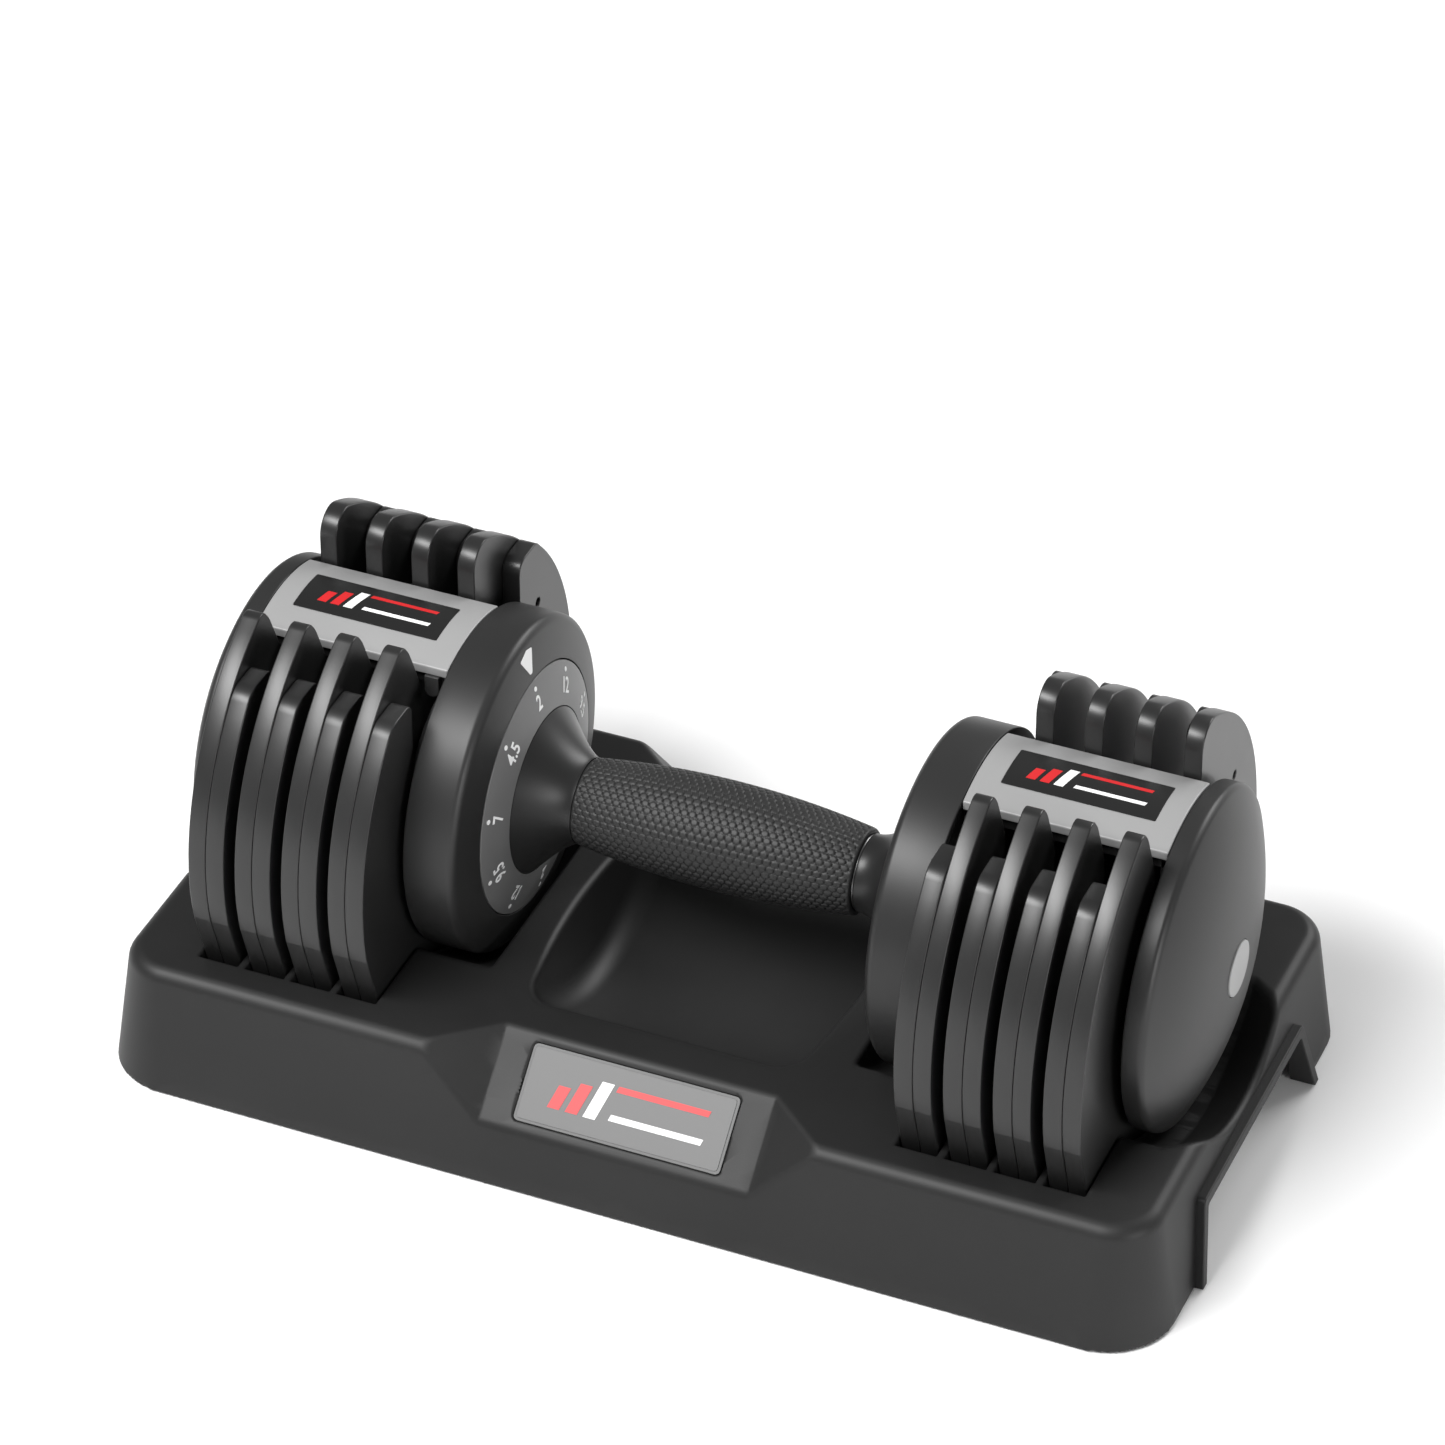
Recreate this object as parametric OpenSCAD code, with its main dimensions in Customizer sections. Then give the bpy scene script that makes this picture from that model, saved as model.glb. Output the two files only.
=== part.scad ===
// Adjustable dumbbell with its storage tray.
// X runs along the handle, Y to the back and Z up. The origin is the middle of the
// tray's underside, on the floor. "side" is -1 for the left end and 1 for the right.

/* [Handle] */
// Height of the handle axis above the floor
axis_h = 85; // [84:0.5:86]
// Diameter of the grip at its middle
grip_mid_d = 36.3; // [33:0.1:38]
// Diameter of the grip at its ends
grip_end_d = 28.8; // [27:0.1:30]
// Length of the rubber grip sleeve
grip_len = 97; // [94:0.5:98]
// Diameter of the drive shaft
shaft_d = 12; // [11:0.5:13]

/* [Discs] */
// Radius of the inner and outer discs
disc_r = 57; // [56:0.5:57.5]
// Distance from the middle to the rim edge of an inner disc
disc_face_x = 70.1; // [69.8:0.1:70.4]
// Outer radius of the dial ring
dial_r = 42.5; // [41:0.5:43]
// Radius of the grey cap in the middle of an outer disc
cap_r = 9.3; // [8:0.1:10]
// Half of the dumbbell's overall length
end_x = 174.5; // [174:0.5:176]

/* [Plates] */
// Weight plates at each end
plate_count = 4; // [4]
// Radius of a plate's round edge
plate_r = 81.3; // [80:0.1:82]
// Spacing of the plates
plate_pitch = 16.4; // [16.2:0.1:16.6]
// Thickness of the tall steel layer
tall_t = 6.1; // [5.8:0.1:6.1]
// Thickness of the short steel layer
short_t = 6.4; // [6.2:0.1:6.4]
// Distance from the middle to the first plate
plate_x = 90.3; // [90.2:0.1:90.5]

/* [Tray] */
// Length of the tray at the floor
tray_len = 367; // [364:1:372]
// Width of the tray at the floor
tray_w = 194; // [190:1:198]
// Height of the tray's deck
tray_h = 44.5; // [43:0.5:46]
// How far the lip of a finger opening stands out from the foot of the end wall
lip_out = 3; // [2:0.5:4]
// Wall thickness of the tray
wall = 3; // [2.5:0.5:3]

/* [Hidden] */
SIDES = [-1, 1];
PLATES = [1:plate_count];
function end_name(side) = side < 0 ? "left" : "right";
$fn = 96;
eps = 0.01;
arc_steps = 24;

// Plates: centre height, taper below the round part, openings and ears
plate_cz = -5;
plate_t = short_t + tall_t;
taper_top = [79.5, -22];
taper_low = [62.8, -73];
tall_slot_r = 20.5;
short_slot_r = 41;
tall_ear_z = 68.4;
short_ear_z = 55;
horn_hole = [55, 31];
rivet_r = 3;
rivet_places = [[-50, -55], [50, -55], [0, -63]];
catch_pin_z = -27;

// Selector cams
cam_r = 36.5;
cam_lip = 5.5;
cam_web = 2.4;
cam_hub_r = 13;
cam_lead = 1.5;
dial_step = 36;
cam_margin = 16;

// Discs
inner_back_x = 85.2;
inner_end_x = 87.7;
outer_start_x = 155.6;
outer_back_t = 3;
outer_rim_x = 162.9;
hub_base_r = 28.1;
face_slope = 0.25;
shell_t = 3;
bush_r = 9;
run_fit = 0.05;

// Bridge and cover over the plates
bridge_r = [49.5, 54];
cover_r = [54.1, 57];
cover_w = 19.5;

// Dial and lock
lock_wheel_x = [72.2, 77.4];
lock_wheel_r = 30;
lock_x = 81;
lock_travel = 4;
detent_x = 74.8;

// Tray
tray_draft_x = 6;
tray_draft_y = 8.2;
tray_corner = 24;
slit_gap = 0.7;
slit_w = 76.2;
slit_floor = 11.6;
panel_top_y = -69;
panel_slope = 1.06;
foot_at = [150, 76];

// First face of plate n, on the right
function plate_start(n) = plate_x + (n - 1) * plate_pitch;
function face_x(r) = disc_face_x - (disc_r - 1.8 - r) * face_slope;

module on_side(side) {
    if (side > 0) children();
    else mirror([1, 0, 0]) children();
}

// Extrudes an outline drawn in (Y, Z) about the handle axis along X, from x for a length t
module along_x(x, t) {
    translate([x, 0, axis_h]) rotate([90, 0, 90]) linear_extrude(t) children();
}

// Revolves an outline drawn as (radius, x) about the handle axis
module around_axis(angle = 360, start = 0) {
    translate([0, 0, axis_h]) rotate([0, 90, 0]) rotate([0, 0, start + 90])
        rotate_extrude(angle = angle) children();
}

// A round tube about the handle axis from x0 to x1
module ring(r0, r1, x0, x1) {
    around_axis() translate([r0, x0]) square([r1 - r0, x1 - x0]);
}

// A rod along X at (y, z) from the handle axis
module rod_x(r, x0, x1, y = 0, z = 0) {
    translate([x0, y, axis_h + z]) rotate([0, 90, 0]) cylinder(r = r, h = x1 - x0, $fn = 32);
}

// ---- Tray ----

module tray_block(inset) {
    module level(z, dx, dy) {
        r = tray_corner - inset;
        x = tray_len / 2 - dx - inset - r;
        y = tray_w / 2 - dy - inset - r;
        translate([0, 0, z]) linear_extrude(eps) union() {
            for (sx = SIDES) for (sy = SIDES) translate([sx * x, sy * y]) circle(r = r, $fn = 48);
            square([2 * (x + r), 2 * y], center = true);
            square([2 * x, 2 * (y + r)], center = true);
        }
    }
    hull() {
        level(inset > 0 ? -1 : 0.8, 0, 0);
        level(tray_h - inset - eps, tray_draft_x, tray_draft_y);
    }
}

// Sloped panel cut into the front wall, with a triangular facet at each end
module panel_cut(grow = 0) {
    top_y = panel_top_y + 1.46 * grow;
    slope = panel_slope;
    panel_x = 46.5 + grow;
    valley = [70 + grow, -89 + 1.3 * grow];
    low_z = 3;
    function panel_y(z) = top_y - (tray_h - z) * slope;
    reach = [valley[0] - panel_x, valley[1] - top_y];
    corners = [
        [panel_x, top_y, tray_h], [panel_x, top_y, tray_h + 10], [panel_x, panel_y(low_z), low_z],
        [panel_x + 2 * reach[0], top_y + 2 * reach[1], tray_h],
        [panel_x + 2 * reach[0], top_y + 2 * reach[1], tray_h + 10]];
    hull() for (s = SIDES) for (p = corners) translate([s * p[0], p[1], p[2]]) cube(eps, center = true);
}

// Trough under the grip, with sloped ends
module trough_cut() {
    around_axis() polygon([[0, -60], [68, -46], [68, 46], [0, 60]]);
}

// Round seats for the discs, and the open notch at each end
module seat_cuts() {
    ring(0, 60.5, 63.5, 90.2);
    around_axis() polygon([[0, 152], [60.5, 152], [60.5, 166], [54.5, 177], [54.5, 200], [0, 200]]);
}

module slit_cuts() {
    for (n = PLATES) translate([plate_start(n) - slit_gap, -slit_w, slit_floor])
        cube([plate_t + 2 * slit_gap, 2 * slit_w, tray_h]);
}

// Finger opening at the foot of each end wall
module finger_cut() {
    translate([172.5, 0, 0]) rotate([90, 0, 90]) linear_extrude(30)
        polygon([[-53, -1], [53, -1], [44.5, 26], [-44.5, 26]]);
}

// Solid material that the seats, trough and slits are cut from
module seat_blocks() {
    intersection() {
        tray_block(0);
        union() {
            ring(0, 68 + wall, -58, 58);
            for (my = [0, 1]) mirror([0, my, 0]) panel_cut(wall);
            for (s = SIDES) on_side(s) {
                ring(0, 60.5 + wall, 60, 92);
                ring(0, 60.5 + wall, 150, 190);
                translate([86.5, -slit_w - wall, slit_floor - wall])
                    cube([69, 2 * (slit_w + wall), tray_h]);
            }
        }
    }
}

// Raised lip round a finger opening, upright where the end wall slopes away
module finger_frame() {
    lip_x = 172.5;
    translate([lip_x, 0, 0.8]) rotate([90, 0, 90]) linear_extrude(tray_len / 2 + lip_out - lip_x)
        polygon([[-56.5, 0], [56.5, 0], [47.3, 28.8], [-47.3, 28.8]]);
}

module tray_shell() color("#2c2c2e") difference() {
    union() {
        difference() {
            tray_block(0);
            tray_block(wall);
        }
        seat_blocks();
        for (s = SIDES) on_side(s) finger_frame();
        for (sx = SIDES) for (sy = SIDES) translate([sx * foot_at[0], sy * foot_at[1], 3])
            cylinder(r = 11, h = tray_h - 4);
    }
    trough_cut();
    for (s = SIDES) on_side(s) {
        difference() {
            seat_cuts();
            if (s < 0) lock_post();
        }
        slit_cuts();
        finger_cut();
    }
    for (my = [0, 1]) mirror([0, my, 0]) {
        panel_cut();
        badge();
    }
}

// Post in the left seat that holds the lock pin up
module lock_post() {
    translate([lock_x, 0, 20]) cylinder(r = 3.4, h = axis_h - disc_r - 20.4);
}

module tray_feet() color("#161616")
    for (sx = SIDES) for (sy = SIDES) translate([sx * foot_at[0], sy * foot_at[1], 0])
        cylinder(r = 10, h = 3);

// Plain plate let into the sloped panel
module badge() {
    size = [71.4, 25.7, 1.6];
    corner = 2;
    mid_z = 33.4;
    translate([0, panel_top_y - (tray_h - mid_z) * panel_slope, mid_z])
        rotate([atan(1 / panel_slope), 0, 0]) translate([0, 0, -0.6]) linear_extrude(size[2], center = true)
        union() {
            square([size[0] - 2 * corner, size[1]], center = true);
            square([size[0], size[1] - 2 * corner], center = true);
            for (sx = SIDES) for (sy = SIDES)
                translate([sx * (size[0] / 2 - corner), sy * (size[1] / 2 - corner)]) circle(r = corner, $fn = 24);
        }
}

module front_badge() color("#8d8d8f") badge();
module back_badge() color("#8d8d8f") mirror([0, 1, 0]) badge();

// ---- Weight plates ----

module plate_blank() {
    intersection() {
        translate([0, plate_cz]) circle(r = plate_r, $fn = 180);
        translate([-100, taper_top[1]]) square([200, 120]);
    }
    polygon([[-taper_top[0], taper_top[1] + eps], [-taper_low[0], taper_low[1]],
        [taper_low[0], taper_low[1]], [taper_top[0], taper_top[1] + eps]]);
}

module open_slot(r) {
    circle(r = r);
    translate([-r, 0]) square([2 * r, 100]);
}

// Cuts the rounded upper corner at y of a horn whose crown follows the plate's round edge
module horn_corner(y, r) {
    cy = y + r;
    reach = plate_r - r;
    rise = sqrt(reach * reach - cy * cy);
    last = atan2(rise, cy) + 14;
    arc = [for (i = [0:8]) let (a = 180 + (last - 180) * i / 8) [cy + r * cos(a), plate_cz + rise + r * sin(a)]];
    polygon(concat([[y - 1, 100], [y - 1, plate_cz + rise]], arc,
        [[cy + 3 * r * cos(last), plate_cz + rise + 3 * r * sin(last)]]));
}

module tall_outline() {
    difference() {
        plate_blank();
        open_slot(tall_slot_r);
        translate([-100, tall_ear_z]) square([100, 40]);
        polygon([[-33.5, 70], [-33.5, tall_ear_z], [-30.4, 66.2], [-28, 63], [-25.6, 58.6], [-23.2, 53],
            [-21.2, 47], [-20.4, 40], [0, 40], [0, 70]]);
        horn_corner(tall_slot_r, 8);
        translate(horn_hole) circle(r = 1.6, $fn = 24);
        for (p = rivet_places) translate(p) circle(r = rivet_r, $fn = 32);
        translate([0, catch_pin_z]) circle(r = rivet_r, $fn = 32);
    }
}

module short_outline() {
    horn_r = 6;
    horn_y = short_slot_r;
    difference() {
        plate_blank();
        open_slot(short_slot_r);
        translate([-100, short_ear_z]) square([200, 60]);
        difference() {
            translate([horn_y - 1, short_ear_z - horn_r]) square([1 + horn_r, 10]);
            translate([horn_y + horn_r, short_ear_z - horn_r]) circle(r = horn_r, $fn = 48);
        }
        translate(horn_hole) circle(r = 1.6, $fn = 24);
        for (p = rivet_places) translate(p) circle(r = rivet_r, $fn = 32);
    }
}

module tall_layer(n, side) color("#3a3a3c") on_side(side)
    along_x(plate_start(n) + short_t, tall_t) tall_outline();

module short_layer(n, side) color("#343436") on_side(side)
    along_x(plate_start(n), short_t) short_outline();

// Rivets through both layers, and the catch pin that the selector cam lifts
module plate_pins(n) color("#8a8a8c") for (s = SIDES) on_side(s) {
    for (p = rivet_places) rod_x(rivet_r, plate_start(n), plate_start(n) + plate_t, p[0], p[1]);
    rod_x(rivet_r, plate_start(n) + 1.4, plate_start(n) + plate_t, 0, catch_pin_z);
}

// ---- Inner discs ----

// Rim and front face of an inner disc, open at the back, with a hole of radius bore
module disc_shell(bore) {
    rim_in = disc_r - 3.5;
    edge = disc_r - 1.8;
    around_axis() polygon([
        [bore, face_x(bore)], [edge, disc_face_x], [disc_r, disc_face_x + 1.8], [disc_r, inner_end_x],
        [rim_in, inner_end_x], [rim_in, face_x(rim_in) + shell_t], [bore, face_x(bore) + shell_t]]);
}

module inner_disc(side) color("#2a2a2c") on_side(side) difference() {
    union() {
        disc_shell(side < 0 ? dial_r + 0.4 : 20.4);
        if (side < 0) {
            translate([detent_x, 0, axis_h + 30.8]) cylinder(r = 3.6, h = 24);
            translate([lock_x, 0, axis_h - 55]) cylinder(r = 4.1, h = 9);
        }
        for (a = [45, 135, 225, 315])
            rod_x(4, face_x(46) + 1, inner_back_x, 48 * cos(a), 48 * sin(a));
    }
    if (side < 0) {
        translate([detent_x, 0, axis_h + 30]) cylinder(r = 2.5, h = 21, $fn = 32);
        translate([lock_x, 0, axis_h - 60]) cylinder(r = 3.3, h = 20, $fn = 32);
    }
    for (a = [45, 135, 225, 315]) rod_x(1.5, inner_back_x - 9, 90, 48 * cos(a), 48 * sin(a));
}

// Plate that closes the back of an inner disc and carries the shaft bushing
module inner_back(side) color("#262628") on_side(side) difference() {
    union() {
        ring(bush_r, disc_r - 3.55, inner_back_x, inner_end_x);
        ring(bush_r, bush_r + 2, 79, inner_end_x);
    }
    for (a = [45, 135, 225, 315]) rod_x(1.5, 80, 90, 48 * cos(a), 48 * sin(a));
    for (y = [-12, 12]) rod_x(1.5, 80, 90, y, 44);
}

module pointer_mark() color("white") on_side(-1) {
    r0 = 44.8;
    r1 = 54.2;
    thick = 0.5;
    intersection() {
        around_axis() polygon([[r0, face_x(r0) - thick], [r1, face_x(r1) - thick],
            [r1, face_x(r1)], [r0, face_x(r0)]]);
        along_x(60, 15) polygon([[-4.6, 53.6], [4.6, 53.6], [0.7, r0], [-0.7, r0]]);
    }
}

// ---- Outer discs ----

// Radius of the dome at x, a shallow arc from the rim to the cap
function dome_x(r) = outer_rim_x + (end_x - 0.3 - outer_rim_x) * (1 - pow(r / (disc_r - 1.5), 2.4));

module outer_disc(side) color("#2d2d2f") on_side(side) {
    rim = disc_r - 0.3;
    steps = [for (i = [0:arc_steps]) cap_r + 0.2 + (disc_r - 1.5 - cap_r - 0.2) * i / arc_steps];
    inner = [for (i = [0:arc_steps]) cap_r + 0.2 + (disc_r - 5.5 - cap_r) * (1 - i / arc_steps)];
    around_axis() polygon(concat(
        [[6, dome_x(0) - 6], [6, dome_x(0) - 2.4], [cap_r + 0.2, dome_x(0) - 2.4]],
        [for (r = steps) [r, dome_x(r)]],
        [[rim, outer_rim_x - 1.2], [rim, outer_start_x], [rim - 3.5, outer_start_x],
            [rim - 3.5, outer_start_x + outer_back_t]],
        [for (r = inner) [r, dome_x(r) - 3.6]]));
}

module outer_back(side) color("#262628") on_side(side) difference() {
    union() {
        ring(bush_r, disc_r - 3.85, outer_start_x, outer_start_x + outer_back_t);
        ring(bush_r, bush_r + 2, outer_start_x, 162);
    }
    for (y = [-12, 12]) rod_x(1.5, 150, 165, y, 44);
}

module end_cap(side) color("#9a9a9c") on_side(side)
    ring(0, cap_r, end_x - 2.6, end_x);

// ---- Bridges ----

// Arc band about the handle axis, cut to half-width w
module band(r0, r1, x0, x1, w) {
    intersection() {
        ring(r0, r1, x0, x1);
        translate([x0, -w, axis_h]) cube([x1 - x0, 2 * w, 70]);
    }
}

module bridge(side) color("#333335") on_side(side) difference() {
    union() {
        band(bridge_r[0], bridge_r[1], inner_end_x, outer_start_x, 18);
        for (x = [inner_end_x, outer_start_x - 2.9]) translate([x, -18, axis_h + 38.5]) cube([2.9, 36, 10]);
        for (n = PLATES) bridge_lug(plate_start(n) + 0.5);
    }
    for (y = [-12, 12]) rod_x(1.6, 80, 165, y, 44);
}

// Rounded guide lug that hangs from the front edge between two plates
module bridge_lug(x) {
    lug = [5, 2.6, 5.2];
    translate([x, -20.4, axis_h + 45]) union() {
        cube(lug);
        translate([lug[0] / 2, lug[1], 0]) rotate([90, 0, 0]) cylinder(r = lug[0] / 2, h = lug[1], $fn = 32);
    }
}

module bridge_cover(side) color("#a9a9ab") on_side(side)
    band(cover_r[0], cover_r[1], inner_end_x + 0.2, outer_start_x - 0.2, cover_w);

module cover_label(side) color("#151515") on_side(side) intersection() {
    ring(cover_r[1], cover_r[1] + 0.3, 96.5, 147.5);
    translate([90, -9.4, axis_h]) cube([70, 18.8, 70]);
}

// ---- Small parts of the handle frame ----

module bushings() color("#c9a35a") for (s = SIDES) on_side(s) {
    ring(shaft_d / 2 + run_fit, bush_r, 79, inner_end_x);
    ring(shaft_d / 2 + run_fit, bush_r, outer_start_x, 162);
}

module bridge_screws() color("#77777a") for (s = SIDES) on_side(s) for (y = [-12, 12]) {
    rod_x(1.5, 82.5, 90.6, y, 44);
    rod_x(2.8, 90.6, 92.4, y, 44);
    rod_x(1.5, 152.7, 161, y, 44);
    rod_x(2.8, 150.9, 152.7, y, 44);
}

module disc_screws() color("#77777a") for (s = SIDES) on_side(s) for (a = [45, 135, 225, 315])
    rod_x(1.5, inner_back_x - 8, inner_end_x, 48 * cos(a), 48 * sin(a));

module detent_ball() color("silver") translate([-detent_x, 0, axis_h + lock_wheel_r + 2.8])
    sphere(r = 2.4, $fn = 48);

module detent_spring() color("silver") translate([-detent_x, 0, axis_h + 35.3]) difference() {
    cylinder(r = 2.3, h = 15.5, $fn = 32);
    translate([0, 0, -1]) cylinder(r = 1.6, h = 20, $fn = 32);
}

module lock_spring() color("silver") translate([-lock_x, 0, axis_h - 18.6]) difference() {
    cylinder(r = 2.6, h = 7.3, $fn = 32);
    translate([0, 0, -1]) cylinder(r = 1.9, h = 10, $fn = 32);
}

// Sliding pin: the tray's post holds it up, and it drops into the wheel when the handle is lifted
module lock_pin() color("#b0b0b2") on_side(-1) {
    translate([lock_x, 0, axis_h - disc_r]) cylinder(r = 3, h = disc_r - 18.9, $fn = 32);
    rod_x(1.8, 74.9, lock_x, 0, -22);
}

// ---- Turning parts ----

// Barrel radius of the grip at x
function grip_r(x) = grip_mid_d / 2 - (grip_mid_d - grip_end_d) / 2 * pow(2 * x / grip_len, 2);

module grip_sleeve() color("#1f1f20") {
    half = grip_len / 2;
    around_axis() polygon(concat([[12.5, half], [12.5, -half]],
        [for (i = [0:arc_steps]) let (x = -half + grip_len * i / arc_steps) [grip_r(x), x]]));
}

module grip_core() color("#6d6d70") ring(shaft_d / 2, 12.5, -grip_len / 2, grip_len / 2);

module drive_shaft() color("#b5b5b8") rod_shaft();
module rod_shaft() {
    translate([-163.5, 0, axis_h]) rotate([0, 90, 0]) cylinder(d = shaft_d, h = 327);
}

// Flared hub between the grip and the dial, with the flange that carries the dial ring
module dial_hub() color("#222224") on_side(-1) {
    x0 = grip_len / 2;
    x1 = face_x(hub_base_r);
    flange_x = 70.5;
    r0 = grip_end_d / 2;
    around_axis() polygon(concat(
        [[shaft_d / 2, flange_x], [shaft_d / 2, x0]],
        [for (i = [0:arc_steps]) let (t = i / arc_steps) [r0 + (hub_base_r - r0) * pow(t, 1.35), x0 + (x1 - x0) * t]],
        [[hub_base_r, x1 + 1.5], [dial_r - 0.2, face_x(dial_r) + 1.5], [dial_r - 0.2, flange_x]]));
}

module dial_ring() color("#707073") on_side(-1)
    around_axis() polygon([[hub_base_r, face_x(hub_base_r)], [dial_r, face_x(dial_r)],
        [dial_r, face_x(dial_r) + 1.5], [hub_base_r, face_x(hub_base_r) + 1.5]]);

// Wheel with a ring groove for the lock pin's tooth and a locking slot at every setting
module lock_wheel() color("#8f8f92") on_side(-1) difference() {
    union() {
        ring(shaft_d / 2, 14, 70.5, lock_wheel_x[0]);
        ring(shaft_d / 2, lock_wheel_r, lock_wheel_x[0], lock_wheel_x[1]);
    }
    ring(19.6, 24.4, lock_wheel_x[1] - 3, lock_wheel_x[1] + 1);
    for (i = [0:9]) translate([lock_wheel_x[1] - 3, 0, axis_h]) rotate([i * dial_step, 0, 0])
        translate([0, -2.3, -lock_wheel_r + 1]) cube([4, 4.6, 8]);
}

module grip_collar() color("#222224") {
    x0 = grip_len / 2;
    around_axis() polygon(concat([[shaft_d / 2, 66], [shaft_d / 2, x0], [13, x0]],
        [for (i = [0:arc_steps]) let (t = i / arc_steps) [13 + 7 * pow(t, 2), x0 + 1 + 12.5 * t]], [[20, 66]]));
}

module shaft_nuts() color("#8a8a8c") for (s = SIDES) on_side(s)
    rod_x(4, 163.5, 166.5);

// Pair of selector cams of plate pair n: an arc lip catches the plate's pin at the settings that lift it
module selector_cams(n) color("#3f3f42") for (s = SIDES) on_side(s) {
    x0 = plate_start(n) - cam_lead;
    x1 = n < plate_count ? x0 + plate_pitch : x0 + plate_pitch - 0.8;
    lip_start = -90 + n * dial_step - cam_margin;
    lip_end = -90 + plate_count * dial_step + cam_margin;
    ring(shaft_d / 2, cam_r, x0, x0 + cam_web);
    ring(shaft_d / 2, cam_hub_r, x0 + cam_web, x1);
    along_x(x0, cam_web + 5) difference() {
        circle(r = cam_r);
        circle(r = cam_r - cam_lip);
        for (turn = [0, 180]) rotate(turn) polygon(concat([[0, 0]],
            [for (a = [lip_end - 180, lip_start]) 3 * cam_r * [cos(a), sin(a)]]));
    }
}

// ---- Assembly ----

tray_shell();
tray_feet();
front_badge();
back_badge();
for (n = PLATES) {
    for (s = SIDES) {
        tall_layer(n, s);
        short_layer(n, s);
    }
    plate_pins(n);
    selector_cams(n);
}
for (s = SIDES) {
    inner_disc(s);
    inner_back(s);
    outer_disc(s);
    outer_back(s);
    end_cap(s);
    bridge(s);
    bridge_cover(s);
    cover_label(s);
}
bushings();
bridge_screws();
disc_screws();
pointer_mark();
detent_ball();
detent_spring();
lock_spring();
lock_pin();
grip_sleeve();
grip_core();
drive_shaft();
dial_hub();
dial_ring();
lock_wheel();
grip_collar();
shaft_nuts();
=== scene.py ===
import math

import bmesh
import bpy
import numpy as np
from mathutils import Matrix, Vector


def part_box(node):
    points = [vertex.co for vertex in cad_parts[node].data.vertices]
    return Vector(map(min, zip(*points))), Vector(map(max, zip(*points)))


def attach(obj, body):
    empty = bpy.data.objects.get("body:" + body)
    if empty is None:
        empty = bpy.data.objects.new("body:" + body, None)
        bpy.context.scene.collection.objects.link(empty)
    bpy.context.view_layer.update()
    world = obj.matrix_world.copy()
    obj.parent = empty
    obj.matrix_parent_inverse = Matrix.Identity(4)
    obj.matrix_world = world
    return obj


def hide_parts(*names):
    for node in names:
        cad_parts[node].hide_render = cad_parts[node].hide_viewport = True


MM = 0.001
SIDES = {"left": -1, "right": 1}
PLATES = (1, 2, 3, 4)

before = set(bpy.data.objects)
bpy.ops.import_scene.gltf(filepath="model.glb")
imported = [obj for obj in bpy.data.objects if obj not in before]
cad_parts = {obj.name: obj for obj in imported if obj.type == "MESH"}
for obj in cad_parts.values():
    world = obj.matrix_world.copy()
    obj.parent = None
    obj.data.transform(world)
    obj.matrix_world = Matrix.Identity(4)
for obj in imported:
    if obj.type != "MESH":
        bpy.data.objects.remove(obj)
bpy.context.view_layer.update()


def node_box(node):
    """Lowest and highest corner of a CAD node, in millimetres."""
    low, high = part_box(node)
    return [v / MM for v in low], [v / MM for v in high]


# ---- Sizes, from the frame ----

SHAFT_LOW, SHAFT_HIGH = node_box("drive_shaft")
AXIS_Z = (SHAFT_LOW[2] + SHAFT_HIGH[2]) / 2
DISC_R = node_box("inner_disc_right")[1][1]
DISC_BACK = node_box("inner_disc_right")[1][0]
FACE_EDGE_X = 70.1
FACE_SLOPE = 0.25
DIAL_R = 42.5
HUB_R = 28.1
GRIP_HALF = node_box("grip_sleeve")[1][0]
GRIP_MID_R = node_box("grip_sleeve")[1][1]
GRIP_END_R = 14.4
OUTER_X = node_box("outer_disc_right")[0][0]
DOME_X = node_box("end_cap_right")[1][0]
OUTER_RIM_X = 162.9
CAP_R = node_box("end_cap_right")[1][1]
PLATE_R = 81.3
PLATE_CZ = -5
# The finger opening's lip stands out this far from the foot of the end wall
LIP_OUT = 3
LIP_END = node_box("tray_shell")[1][0]
TRAY_LEN = 2 * (LIP_END - LIP_OUT)
TRAY_W = 2 * node_box("tray_shell")[1][1]
TRAY_BOTTOM = node_box("tray_shell")[0][2]
TRAY_H = node_box("tray_shell")[1][2]
# How far the tray's walls lean in from foot to deck, and the corner radius at the foot
TRAY_DRAFT_X = 6
TRAY_DRAFT_Y = 8.2
TRAY_CORNER = 24
TRAY_WALL = 3
# How much the lip's outer face leans in for each millimetre of height
LIP_LEAN = 0.135
COVER_R = (54, 57)
COVER_W = 19.5
LABEL_R = 57.15


def plate_span(n):
    """First face, seam between the layers and last face of plate n, on the right."""
    short = node_box(f"short_layer_{n}_right")
    tall = node_box(f"tall_layer_{n}_right")
    return short[0][0], tall[0][0], tall[1][0]


def face_x(r):
    """Where the conical face of an inner disc is at radius r."""
    return FACE_EDGE_X - (DISC_R - 1.8 - r) * FACE_SLOPE


# ---- Materials ----


def srgb(value):
    """A linear grey or colour from sRGB values between 0 and 255."""
    values = value if isinstance(value, tuple) else (value,) * 3
    return tuple(((v / 255 + 0.055) / 1.055) ** 2.4 if v > 10 else v / 255 / 12.92 for v in values) + (1,)


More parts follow.
